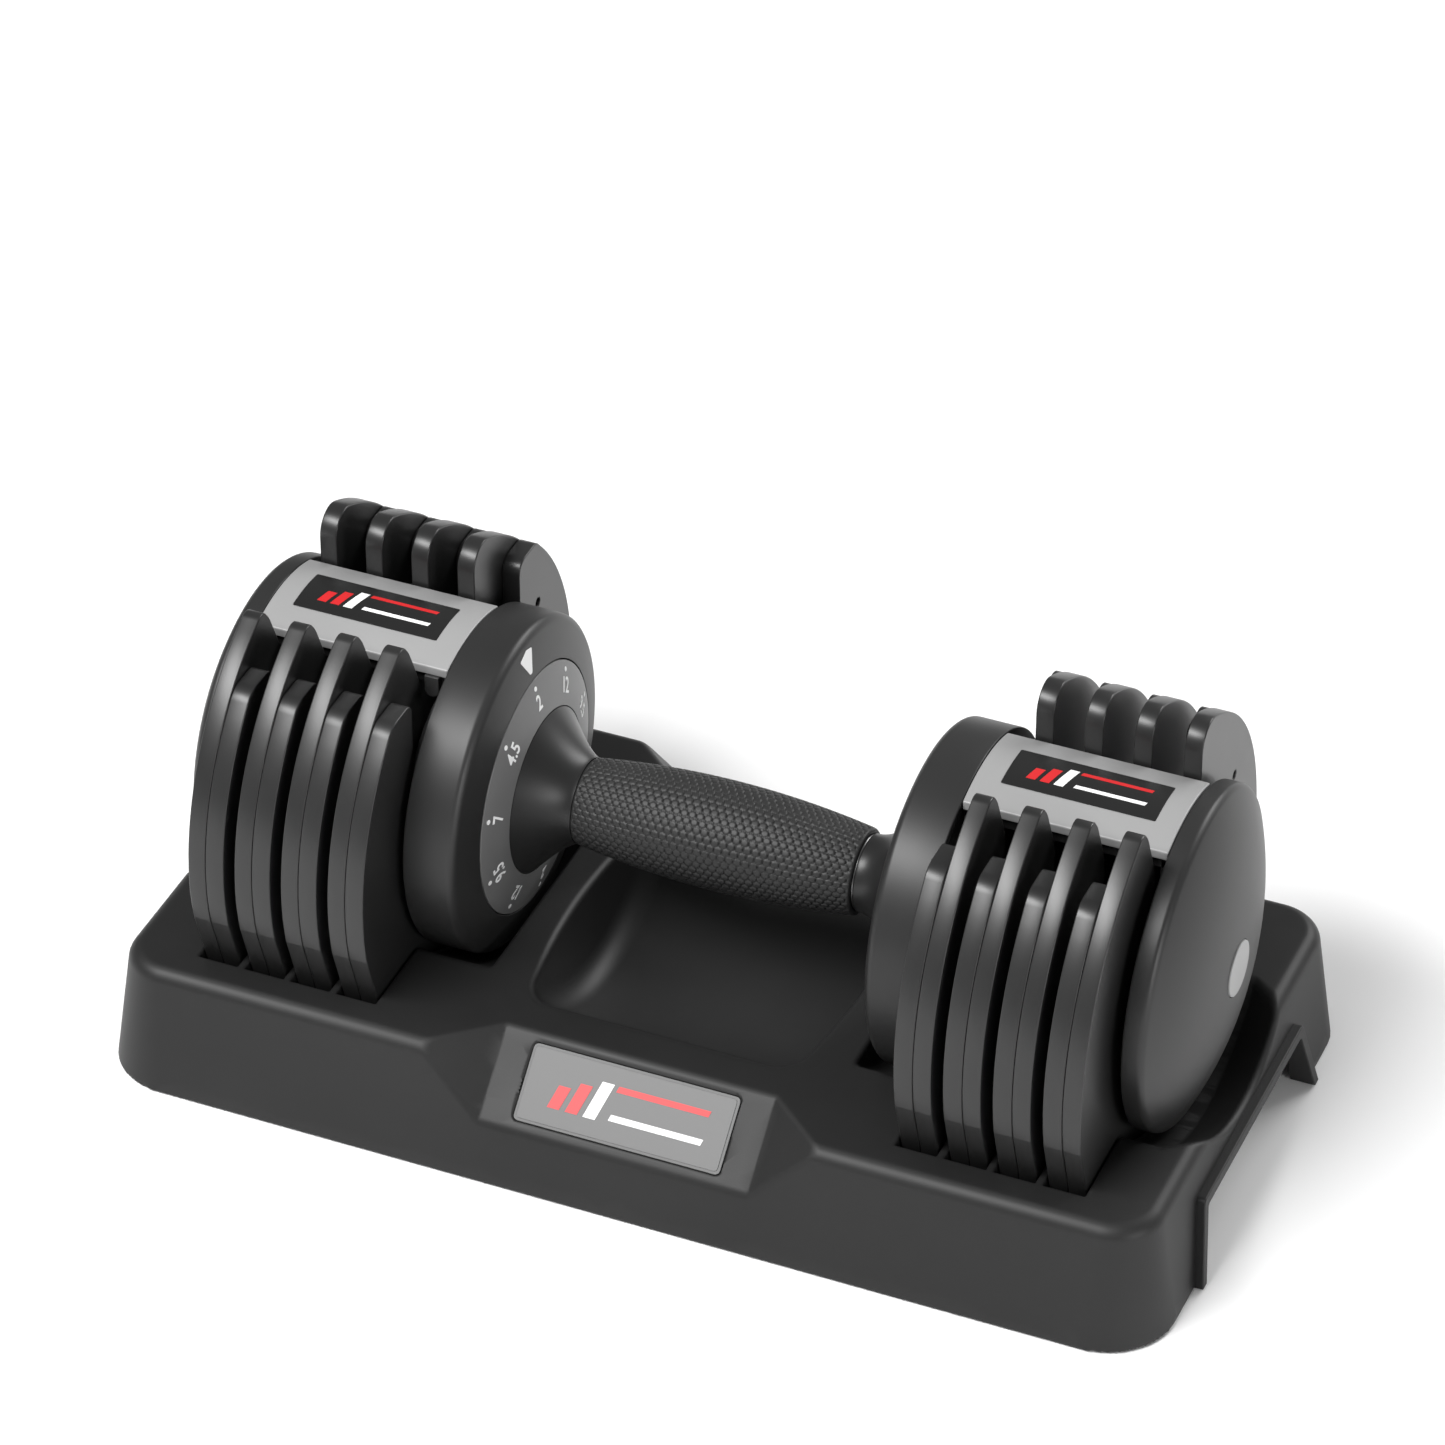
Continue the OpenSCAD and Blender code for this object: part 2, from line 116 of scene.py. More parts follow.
def material(name, colour, roughness, metallic=0.0, grain=0.0, grain_size=0.4, spread=0.12, specular=0.5):
    """A principled finish with faint variation in colour and roughness, and a bump grain."""
    mat = bpy.data.materials.new(name)
    mat.use_nodes = True
    nodes, links = mat.node_tree.nodes, mat.node_tree.links
    shader = nodes["Principled BSDF"]
    shader.inputs["Metallic"].default_value = metallic
    shader.inputs["Specular IOR Level"].default_value = specular
    place = nodes.new("ShaderNodeTexCoord")
    cloud = nodes.new("ShaderNodeTexNoise")
    cloud.inputs["Scale"].default_value = 18
    cloud.inputs["Detail"].default_value = 6
    links.new(place.outputs["Object"], cloud.inputs["Vector"])
    tint = nodes.new("ShaderNodeValToRGB")
    base = srgb(colour)
    tint.color_ramp.elements[0].position = 0.3
    tint.color_ramp.elements[1].position = 0.7
    tint.color_ramp.elements[0].color = tuple(c * (1 - spread) for c in base[:3]) + (1,)
    tint.color_ramp.elements[1].color = tuple(min(1, c * (1 + spread)) for c in base[:3]) + (1,)
    links.new(cloud.outputs["Fac"], tint.inputs["Fac"])
    links.new(tint.outputs["Color"], shader.inputs["Base Color"])
    rough = nodes.new("ShaderNodeMapRange")
    rough.inputs["To Min"].default_value = max(0.02, roughness - 0.05)
    rough.inputs["To Max"].default_value = min(1, roughness + 0.05)
    links.new(cloud.outputs["Fac"], rough.inputs["Value"])
    links.new(rough.outputs["Result"], shader.inputs["Roughness"])
    if grain:
        speck = nodes.new("ShaderNodeTexNoise")
        speck.inputs["Scale"].default_value = 1 / (grain_size * MM)
        speck.inputs["Detail"].default_value = 2
        links.new(place.outputs["Object"], speck.inputs["Vector"])
        bump = nodes.new("ShaderNodeBump")
        bump.inputs["Strength"].default_value = grain
        bump.inputs["Distance"].default_value = 0.05 * MM
        links.new(speck.outputs["Fac"], bump.inputs["Height"])
        links.new(bump.outputs["Normal"], shader.inputs["Normal"])
    return mat


TRAY = material("tray_plastic", 29, 0.5, grain=0.35, grain_size=0.5, specular=0.35)
FEET = material("foot_rubber", 26, 0.8)
BADGE = material("badge_metal", 84, 0.45, metallic=0.1)
BADGE_EDGE = material("badge_border", 60, 0.4)
PLATE = material("plate_paint", 33, 0.36, grain=0.2, grain_size=0.35, specular=0.5)
STEEL = material("pin_steel", 150, 0.3, metallic=1)
CAM = material("cam_plastic", 58, 0.5)
DISC = material("disc_plastic", 36, 0.42, grain=0.25, grain_size=0.4, specular=0.4)
HUB = material("hub_plastic", 30, 0.36, grain=0.2, grain_size=0.4, specular=0.4)
CAP = material("cap_plastic", 150, 0.45)
SILVER = material("cover_silver", 150, 0.45, metallic=0.1, spread=0.04)
LABEL = material("label_black", 22, 0.35)
BRASS = material("bushing_brass", (190, 150, 85), 0.35, metallic=1)
WHITE = material("mark_white", 236, 0.5, spread=0.02)
RED = material("mark_red", (196, 30, 34), 0.45, spread=0.04)
GRIP = material("grip_rubber", 37, 0.5, grain=0.2, grain_size=0.3, specular=0.4)
ALLOY = material("core_aluminium", 165, 0.35, metallic=1)
DIAL = material("dial_grey", 104, 0.42, grain=0.15)


# ---- Making pieces ----


def finish_piece(obj, mat, body, nodes, bevel=0.0, sharp=35):
    """Gives a new object its finish, edge rounding and smooth shading, and rides it on its body."""
    obj.data.materials.clear()
    obj.data.materials.append(mat)
    obj.data.polygons.foreach_set("use_smooth", [True] * len(obj.data.polygons))
    obj.data.set_sharp_from_angle(angle=math.radians(sharp))
    if bevel:
        edge = obj.modifiers.new("edge", "BEVEL")
        edge.width = bevel * MM
        edge.segments = 3
        edge.limit_method = "ANGLE"
        edge.angle_limit = math.radians(sharp)
        edge.harden_normals = True
    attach(obj, body)
    if nodes:
        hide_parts(*nodes)
    return obj


def new_object(name, verts, faces):
    """A mesh object from points in millimetres."""
    mesh = bpy.data.meshes.new(name)
    mesh.from_pydata([tuple(c * MM for c in v) for v in verts], [], faces)
    mesh.update()
    obj = bpy.data.objects.new(name, mesh)
    bpy.context.scene.collection.objects.link(obj)
    return obj


def round_corners(points, radius, steps=5, closed=True):
    """Replaces each corner of an outline with a curve of about the given radius."""
    out = []
    count = len(points)
    for i, p in enumerate(points):
        if not closed and i in (0, count - 1):
            out.append(tuple(p))
            continue
        p = Vector(p)
        before = Vector(points[i - 1]) - p
        after = Vector(points[(i + 1) % count]) - p
        reach = min(radius, before.length * 0.45, after.length * 0.45)
        turn = math.degrees(before.angle(-after)) if before.length * after.length else 0
        if turn < 12:
            out.append(tuple(p))
            continue
        a = p + before.normalized() * reach
        b = p + after.normalized() * reach
        for s in range(steps + 1):
            t = s / steps
            out.append(tuple((1 - t) ** 2 * a + 2 * t * (1 - t) * p + t * t * b))
    return out


def lathe(name, profile, side=1, segments=160):
    """Turns a closed (x, r) outline about the handle axis. Points on the axis close to a pole."""
    verts, rings = [], []
    for x, r in profile:
        if r < 1e-6:
            rings.append([len(verts)])
            verts.append((side * x, 0, AXIS_Z))
            continue
        rings.append(list(range(len(verts), len(verts) + segments)))
        for k in range(segments):
            a = 2 * math.pi * k / segments
            verts.append((side * x, r * math.cos(a), AXIS_Z + r * math.sin(a)))
    faces = []
    for i, ring in enumerate(rings):
        following = rings[(i + 1) % len(rings)]
        if len(ring) == 1 and len(following) == 1:
            continue
        for k in range(segments):
            m = (k + 1) % segments
            if len(ring) == 1:
                quad = (ring[0], following[k], following[m])
            elif len(following) == 1:
                quad = (ring[k], following[0], ring[m])
            else:
                quad = (ring[k], following[k], following[m], ring[m])
            faces.append(quad)
    obj = new_object(name, verts, faces)
    face_outwards(obj.data)
    return obj


def face_outwards(mesh):
    work = bmesh.new()
    work.from_mesh(mesh)
    bmesh.ops.remove_doubles(work, verts=work.verts, dist=1e-7)
    bmesh.ops.recalc_face_normals(work, faces=work.faces)
    work.to_mesh(mesh)
    work.free()


def sheet_of(name, outline, holes, x0, x1, edge):
    """A flat plate from x0 to x1: outline in (y, z) from the axis, round holes, rounded edges."""
    curve = bpy.data.curves.new(name, "CURVE")
    curve.dimensions = "2D"
    curve.fill_mode = "BOTH"
    curve.extrude = (abs(x1 - x0) / 2 - edge) * MM
    curve.bevel_depth = edge * MM
    curve.bevel_resolution = 2
    curve.offset = -edge * MM
    rings = [outline] + [
        [(y + r * math.cos(2 * math.pi * k / 32), z + r * math.sin(2 * math.pi * k / 32)) for k in range(32)]
        for y, z, r in holes
    ]
    for ring in rings:
        spline = curve.splines.new("POLY")
        spline.points.add(len(ring) - 1)
        spline.use_cyclic_u = True
        for point, (y, z) in zip(spline.points, ring):
            point.co = (y * MM, z * MM, 0, 1)
    drawn = bpy.data.objects.new(name + "_curve", curve)
    bpy.context.scene.collection.objects.link(drawn)
    mesh = bpy.data.meshes.new_from_object(drawn.evaluated_get(bpy.context.evaluated_depsgraph_get()))
    bpy.data.objects.remove(drawn)
    stand = Matrix(((0, 0, 1, (x0 + x1) / 2 * MM), (1, 0, 0, 0), (0, 1, 0, AXIS_Z * MM), (0, 0, 0, 1)))
    mesh.transform(stand)
    mesh.name = name
    face_outwards(mesh)
    obj = bpy.data.objects.new(name, mesh)
    bpy.context.scene.collection.objects.link(obj)
    return obj


def prism(name, outline, x0, x1):
    """A solid between x0 and x1 with an outline in (y, z) from the axis."""
    count = len(outline)
    verts = [(x, y, AXIS_Z + z) for x in (x0, x1) for y, z in outline]
    faces = [tuple(range(count)), tuple(range(2 * count - 1, count - 1, -1))]
    faces += [(k, (k + 1) % count, count + (k + 1) % count, count + k) for k in range(count)]
    obj = new_object(name, verts, faces)
    face_outwards(obj.data)
    return obj


def arc(cy, cz, r, start, end, steps):
    """Points on a circle from start to end, in degrees from +Y towards +Z."""
    angles = [math.radians(start + (end - start) * k / steps) for k in range(steps + 1)]
    return [(cy + r * math.cos(a), cz + r * math.sin(a)) for a in angles]


# ---- Tray: one smooth moulded surface, from distance fields ----


def rounded_and(a, b, r):
    """Inside both fields, with outer edges rounded to radius r."""
    a, b = a + r, b + r
    return np.minimum(np.maximum(a, b), 0) + np.hypot(np.maximum(a, 0), np.maximum(b, 0)) - r


def rounded_cut(solid, hole, r):
    return rounded_and(solid, -hole, r)


def rounded_rectangle(u, v, half_u, half_v, r):
    qu, qv = np.abs(u) - half_u + r, np.abs(v) - half_v + r
    return np.hypot(np.maximum(qu, 0), np.maximum(qv, 0)) + np.minimum(np.maximum(qu, qv), 0) - r


def trapezoid(y, z, foot, slope, top):
    """Field of a trapezoid on the floor, of half-width foot, that narrows by slope to the height top."""
    side = (np.abs(y) + slope * z - foot) / math.hypot(1, slope)
    return rounded_and(side, z - top, 1.6)


def tray_field(x, y, z):
    """Distance, about, to the tray's surface, negative inside."""
    ax, ay = np.abs(x), np.abs(y)
    height = z / TRAY_H
    half_x, half_y = TRAY_LEN / 2 - TRAY_DRAFT_X * height, TRAY_W / 2 - TRAY_DRAFT_Y * height
    wall = rounded_rectangle(x, y, half_x, half_y, TRAY_CORNER - 8 * height) * 0.98
    solid = rounded_and(wall, z - TRAY_H, 4.5)
    radius = np.hypot(y, z - AXIS_Z)

    trough_end = (ax + 0.206 * radius - 60) / 1.02
    solid = rounded_cut(solid, rounded_and(radius - 68, trough_end, 7), 2.2)
    solid = rounded_cut(solid, rounded_and(radius - 60.5, np.abs(ax - 76.85) - 13.35, 1.5), 1.5)
    for n in PLATES:
        start, _, end = plate_span(n)
        slit = np.maximum(np.abs(ax - (start + end) / 2) - (end - start) / 2 - 0.7, ay - 76.2)
        solid = rounded_cut(solid, np.maximum(slit, 11.6 - z), 0.7)
    saddle_r = 60.5 - np.clip((ax - 166) / 11, 0, 1) * 6
    saddle = np.maximum(radius - saddle_r, 152 - ax)
    solid = rounded_cut(solid, saddle, 2)

    depth = (ay - 69 - (TRAY_H - z) * 1.06) / 1.457
    facet = (-20 * (ax - 46.5) + 23.5 * (ay - 69) + 24.9 * (z - TRAY_H)) / 39.7
    solid = rounded_cut(solid, np.maximum(-depth, -facet), 1.0)
    along = ((ay - 69) * 1.06 + (TRAY_H - z)) / 1.457
    pocket = rounded_rectangle(x, along - 16.17, 35.9, 13.05, 2.2)
    solid = rounded_cut(solid, np.maximum(pocket, -1.1 - depth), 0.5)

    solid = np.minimum(solid, np.maximum(np.hypot(x + 81, y) - 3.4, z - AXIS_Z + DISC_R + 0.4))
    shell = np.maximum(solid, -(solid + TRAY_WALL))
    post = np.hypot(ax - 150, ay - 76) - 11
    shell = np.minimum(shell, np.maximum(np.maximum(post, solid + 1), 3 - z))
    opening = np.maximum(trapezoid(y, z, 53.5, 0.32, 26.6), 176 - ax)
    shell = np.maximum(shell, -opening)
    return np.maximum(shell, TRAY_BOTTOM - z)


def net_surface(field, low, high, step):
    """Vertices and quads of the surface where a field is zero, on a grid, moved on to the true surface."""
    axes = [np.arange(a, b + step, step, dtype=np.float32) for a, b in zip(low, high)]
    grid = np.empty([len(a) for a in axes], np.float32)
    for i, x in enumerate(axes[0]):
        grid[i] = field(x, axes[1][:, None], axes[2][None, :])
    inside = grid < 0
    corners = [(i, j, k) for i in (0, 1) for j in (0, 1) for k in (0, 1)]
    nx, ny, nz = (s - 1 for s in grid.shape)
    count = sum(inside[i:i + nx, j:j + ny, k:k + nz].astype(np.int8) for i, j, k in corners)
    cells = np.argwhere((count > 0) & (count < 8))
    index = -np.ones((nx, ny, nz), np.int64)
    index[tuple(cells.T)] = np.arange(len(cells))
    total = np.zeros((len(cells), 3))
    hits = np.zeros(len(cells))
    for a in corners:
        for d in range(3):
            if a[d]:
                continue
            b = tuple(c + (m == d) for m, c in enumerate(a))
            fa = grid[tuple((cells + a).T)]
            fb = grid[tuple((cells + b).T)]
            cross = (fa < 0) != (fb < 0)
            t = np.where(cross, fa / np.where(fa == fb, 1, fa - fb), 0)
            point = np.array(a, float)[None, :].repeat(len(cells), 0)
            point[:, d] += t
            total += point * cross[:, None]
            hits += cross
    verts = (cells + total / hits[:, None]) * step + np.array([a[0] for a in axes])
    for _ in range(3):
        normal, value = slope_of(field, verts)
        verts -= normal * np.clip(value, -0.5 * step, 0.5 * step)[:, None]
    quads = []
    for d in range(3):
        u, v = [m for m in range(3) if m != d]
        first = [slice(None)] * 3
        second = [slice(None)] * 3
        first[d], second[d] = slice(0, -1), slice(1, None)
        crossing = np.argwhere(inside[tuple(first)] != inside[tuple(second)])
        keep = (crossing[:, u] > 0) & (crossing[:, v] > 0)
        keep &= (crossing[:, u] < grid.shape[u] - 1) & (crossing[:, v] < grid.shape[v] - 1)
        crossing = crossing[keep]
        around = []
        for du, dv in ((0, 0), (1, 0), (1, 1), (0, 1)):
            cell = crossing.copy()
            cell[:, u] -= du
            cell[:, v] -= dv
            around.append(index[tuple(cell.T)])
        quad = np.stack(around, 1)
        outward = inside[tuple(crossing.T)]
        if d == 1:
            outward = ~outward
        quad[~outward] = quad[~outward][:, ::-1]
        quads.append(quad)
    return verts, np.concatenate(quads)


def slope_of(field, points, reach=0.04):
    """Unit outward direction and value of a field at points, the value scaled to a distance."""
    value = field(*points.T)
    grad = np.empty_like(points)
    for d in range(3):
        ahead, behind = points.copy(), points.copy()
        ahead[:, d] += reach
        behind[:, d] -= reach
        grad[:, d] = (field(*ahead.T) - field(*behind.T)) / (2 * reach)
    size = np.maximum(np.linalg.norm(grad, axis=1), 1e-6)
    return grad / size[:, None], value / np.maximum(size, 0.5)


def tray_shell():
    """The tray's moulding, meshed from its field and thinned."""
    step = 0.85
    low = (-TRAY_LEN / 2 - 2, -TRAY_W / 2 - 2, -1.5)
    high = (TRAY_LEN / 2 + 2, TRAY_W / 2 + 2, TRAY_H + 2)
    verts, quads = net_surface(tray_field, low, high, step)
    verts[:, 2] = np.clip(verts[:, 2], TRAY_BOTTOM, TRAY_H)
    verts[:, 0] = np.clip(verts[:, 0], -TRAY_LEN / 2, TRAY_LEN / 2)
    verts[:, 1] = np.clip(verts[:, 1], -TRAY_W / 2, TRAY_W / 2)
    mesh = bpy.data.meshes.new("tray_moulding")
    mesh.from_pydata((verts * MM).tolist(), [], quads.tolist())
    mesh.update()
    obj = bpy.data.objects.new("tray_moulding", mesh)
    bpy.context.scene.collection.objects.link(obj)
    thin = obj.modifiers.new("thin", "DECIMATE")
    thin.ratio = 0.16
    smaller = bpy.data.meshes.new_from_object(obj.evaluated_get(bpy.context.evaluated_depsgraph_get()))
    obj.modifiers.clear()
    obj.data = smaller
    finish_piece(obj, TRAY, "tray", ["tray_shell"], sharp=50)
    return obj


def finger_lips():
    """The lip that stands out round the finger opening in each end wall."""
    outer = round_corners([(-56.3, 0.9), (-47.2, 29.5), (47.2, 29.5), (56.3, 0.9)], 1.6, 6, closed=False)
    inner = round_corners([(52.6, 0.9), (44.6, 26), (-44.6, 26), (-52.6, 0.9)], 1.2, 6, closed=False)
    outline = [(y, z - AXIS_Z) for y, z in outer + inner]
    for word, side in SIDES.items():
        lip = prism(f"finger_lip_{word}", outline, side * 177.5, side * LIP_END)
        for vert in lip.data.vertices:
            if abs(vert.co.x) > 180 * MM:
                vert.co.x -= side * LIP_LEAN * vert.co.z
        finish_piece(lip, TRAY, "tray", [], bevel=0.5)


def tray_feet():
    """Four round rubber pads with a rounded rim and a shallow dish underneath."""
    for k, (sx, sy) in enumerate(((-1, -1), (-1, 1), (1, -1), (1, 1))):
        rings = [(0, 0.5), (7, 0.5), (7.8, 0), (9.2, 0), (10, 0.8), (10, 3), (0, 3)]
        verts, faces = [], []
        segments = 48
        for r, z in rings:
            for m in range(segments if r else 1):
                a = 2 * math.pi * m / segments
                verts.append((sx * 150 + r * math.cos(a), sy * 76 + r * math.sin(a), z))
        start = 1
        for m in range(segments):
            faces.append((0, start + (m + 1) % segments, start + m))
        for row in range(len(rings) - 3):
            a, b = start + row * segments, start + (row + 1) * segments
            faces += [(a + m, a + (m + 1) % segments, b + (m + 1) % segments, b + m) for m in range(segments)]
        last = start + (len(rings) - 3) * segments
        pole = len(verts) - 1
        faces += [(last + m, last + (m + 1) % segments, pole) for m in range(segments)]
        pad = new_object(f"foot_pad_{k + 1}", verts, faces)
        face_outwards(pad.data)
        finish_piece(pad, FEET, "tray", ["tray_feet"] if k == 0 else [])


def panel_place(facing):
    """Frame of the sloped panel at the front (-1) or back (1): X along it, Y up the slope, Z out of it."""
    lean = math.atan(1 / 1.06)
    up_slope = Vector((0, -facing * math.cos(lean), math.sin(lean)))
    out = Vector((0, facing * math.sin(lean), math.cos(lean)))
    right = up_slope.cross(out)
    centre = Vector((0, facing * (69 + (TRAY_H - 33.4) * 1.06), 33.4))
    place = Matrix.Identity(4)
    for column, axis in enumerate((right, up_slope, out)):
        place.col[column] = tuple(axis) + (0,)
    place.col[3] = tuple(centre * MM) + (1,)
    return place


def flat_shape(name, outline, z0, z1, place):
    """A thin solid with an outline in a panel's own X and Y, from depth z0 to z1."""
    count = len(outline)
    verts = [(u, v, z) for z in (z0, z1) for u, v in outline]
    faces = [tuple(range(count)), tuple(range(2 * count - 1, count - 1, -1))]
    faces += [(k, (k + 1) % count, count + (k + 1) % count, count + k) for k in range(count)]
    obj = new_object(name, verts, faces)
    face_outwards(obj.data)
    obj.data.transform(place)
    return obj


def box_outline(half_u, half_v, r, centre=(0, 0)):
    corners = [(-half_u, -half_v), (half_u, -half_v), (half_u, half_v), (-half_u, half_v)]
    return [(u + centre[0], v + centre[1]) for u, v in round_corners(corners, r, 6)]


def emblem_bars(scale):
    """The plain mark on badges and labels: three leaning bars and two fine lines, in their own plane."""
    bars = []
    for k, (height, tone) in enumerate(((0.62, RED), (0.81, RED), (1.0, WHITE))):
        left, foot, lean = -19 + k * 4.6, -4.6, 2.4
        width, top = 3.1, -4.6 + 9.2 * height
        shift = lean * height
        bar = [(left, foot), (left + width, foot), (left + width + shift, top), (left + shift, top)]
        bars.append((bar, tone))
    for level, tone in ((-3.9, WHITE), (3.0, RED)):
        bars.append(([(-3.5, level), (20, level), (20.4, level + 1.5), (-3.1, level + 1.5)], tone))
    return [([(u * scale, v * scale) for u, v in shape], tone) for shape, tone in bars]


def badges():
    for word, facing in (("front", -1), ("back", 1)):
        place = panel_place(facing)
        border = flat_shape(f"{word}_badge_base", box_outline(35.7, 12.85, 2), -1.0, -0.2, place)
        finish_piece(border, BADGE_EDGE, "tray", [f"{word}_badge"], bevel=0.15)
        plate = flat_shape(f"{word}_badge_plate", box_outline(34.7, 11.85, 1.4), -0.2, 0.05, place)
        finish_piece(plate, BADGE, "tray", [], bevel=0.08)
        for k, (shape, tone) in enumerate(emblem_bars(1.35)):
            mark = flat_shape(f"{word}_badge_mark_{k + 1}", shape, 0.05, 0.15, place)
            finish_piece(mark, tone, "tray", [])


# ---- Weight plates ----

TAPER_TOP = (79.5, -22)
TAPER_LOW = (62.8, -73)
RIVETS = ((-50, -55), (50, -55), (0, -63))
CATCH_PIN = (0, -27)
HORN_HOLE = (55, 31, 1.6)
RIVET_HOLE_R = 3.15
TALL_SLOT_R = 20.5
SHORT_SLOT_R = 41
# Gap between the two layers of a plate on each side of their seam, and the rounding of their edges
SEAM_GAP = 0.04
PLATE_EDGE = 0.45


def crown_angle(z):
    """Angle on the plate's round edge at height z from the axis, on the back half."""
    return math.degrees(math.asin((z - PLATE_CZ) / PLATE_R))


def lower_edge():
    """The plate's sides and foot, from the front of the round edge to the back of it."""
    low_y, low_z = TAPER_LOW
    corners = [(-TAPER_TOP[0], TAPER_TOP[1]), (-low_y, low_z), (low_y, low_z), TAPER_TOP]
    return round_corners(corners, 3, closed=False)


def horn(inner_y, r):
    """Rounded corner from a horn's inner face to the plate's crown, from the slot upwards."""
    reach = PLATE_R - r
    cy = inner_y + r
    rise = math.sqrt(reach * reach - cy * cy)
    crown_end = math.degrees(math.atan2(rise, cy))
    return arc(cy, PLATE_CZ + rise, r, 180, crown_end, 10), crown_end


def tall_outline():
    """Outline of a tall layer: narrow slot, horn at the back and pointed ear at the front."""
    slot_r = TALL_SLOT_R
    corner, crown_end = horn(slot_r, 8)
    ear_top = 68.4
    front = crown_angle(z=ear_top)
    ear_y = -PLATE_R * math.cos(math.radians(front))
    ear_tip = [
        (-slot_r, 42), (-21.2, 47.5), (-24, 54.5), (-28.4, 64.4), (-31.6, ear_top),
        (ear_y, ear_top + 0.3), (ear_y - 3, ear_top - 1.6)]
    ear_tip = round_corners(ear_tip, 4.5, 6, closed=False)
    outline = arc(0, 0, slot_r, 180, 360, 40)
    outline += corner
    outline += arc(0, PLATE_CZ, PLATE_R, crown_end, crown_angle(z=TAPER_TOP[1]), 50)[1:]
    outline += list(reversed(lower_edge()))
    start = 180 - crown_angle(z=TAPER_TOP[1])
    outline += arc(0, PLATE_CZ, PLATE_R, start, 180 - crown_angle(z=ear_top - 1.8), 50)
    outline += list(reversed(ear_tip))[1:]
    return outline


def short_outline():
    """Outline of a short layer: wide slot and a low ear on either side of it."""
    slot_r, top = SHORT_SLOT_R, 55
    outline = arc(0, 0, slot_r, 180, 360, 50)
    end = crown_angle(z=top)
    end_y = PLATE_R * math.cos(math.radians(end))
    corner = [(slot_r, 20), (slot_r, top), (end_y, top), (end_y + 4, top - 3.4)]
    outline += round_corners(corner, 6, 8, closed=False)[1:-1]
    outline += arc(0, PLATE_CZ, PLATE_R, end - 4, crown_angle(z=TAPER_TOP[1]), 46)
    outline += list(reversed(lower_edge()))
    start = 180 - crown_angle(z=TAPER_TOP[1])
    outline += arc(0, PLATE_CZ, PLATE_R, start, 180 - end + 7, 46)
    corner = [(-end_y - 7, top - 7.2), (-end_y - 0.6, top), (-slot_r, top), (-slot_r, 20)]
    outline += round_corners(corner, 4.2, 8, closed=False)[1:-1]
    return outline


def weight_plates():
    tall, short = tall_outline(), short_outline()
    holes = [HORN_HOLE] + [(y, z, RIVET_HOLE_R) for y, z in RIVETS]
    tall_holes = holes + [CATCH_PIN + (RIVET_HOLE_R,)]
    for n in PLATES:
        start, seam, end = plate_span(n)
        for word, side in SIDES.items():
            x0, x1 = side * start, side * (seam - SEAM_GAP)
            inner = sheet_of(f"plate_{n}_{word}_short", short, holes, x0, x1, PLATE_EDGE)
            x0, x1 = side * (seam + SEAM_GAP), side * end
            outer = sheet_of(f"plate_{n}_{word}_tall", tall, tall_holes, x0, x1, PLATE_EDGE)
            finish_piece(inner, PLATE, f"plates_{n}", [f"short_layer_{n}_{word}"])
            finish_piece(outer, PLATE, f"plates_{n}", [f"tall_layer_{n}_{word}"])
            flat_sides(inner)
            flat_sides(outer)
            for k, (y, z) in enumerate(RIVETS + (CATCH_PIN,)):
                first = start + 0.15 if k < 3 else start + 1.4
                pin = rod(f"plate_{n}_{word}_pin_{k + 1}", 3, side * first, side * (end - 0.15), y, z)
                nodes = [f"plate_pins_{n}"] if k == 0 and side < 0 else []
                finish_piece(pin, STEEL, f"plates_{n}", nodes)


def flat_sides(obj):
    """Flat shading on the two large faces of a plate, so that they don't take the edges' rounding."""
    for face in obj.data.polygons:
        if abs(face.normal.x) > 0.999:
            face.use_smooth = False


def rod(name, r, x0, x1, y=0, z=0, edge=0.5, segments=32):
    """A round pin along X with chamfered ends."""
    sign = 1 if x1 > x0 else -1
    rings = [(x0, 0), (x0, r - edge), (x0 + sign * edge, r), (x1 - sign * edge, r), (x1, r - edge), (x1, 0)]
    verts, faces, rows = [], [], []
    for x, radius in rings:
        rows.append(len(verts))
        for m in range(segments if radius else 1):
            a = 2 * math.pi * m / segments
            verts.append((x, y + radius * math.cos(a), AXIS_Z + z + radius * math.sin(a)))
    for row in range(1, 4):
        a, b = rows[row], rows[row + 1]
        faces += [(a + m, a + (m + 1) % segments, b + (m + 1) % segments, b + m) for m in range(segments)]
    faces += [(0, rows[1] + (m + 1) % segments, rows[1] + m) for m in range(segments)]
    faces += [(rows[5], rows[4] + m, rows[4] + (m + 1) % segments) for m in range(segments)]
    obj = new_object(name, verts, faces)
    face_outwards(obj.data)
    return obj


# ---- Discs ----


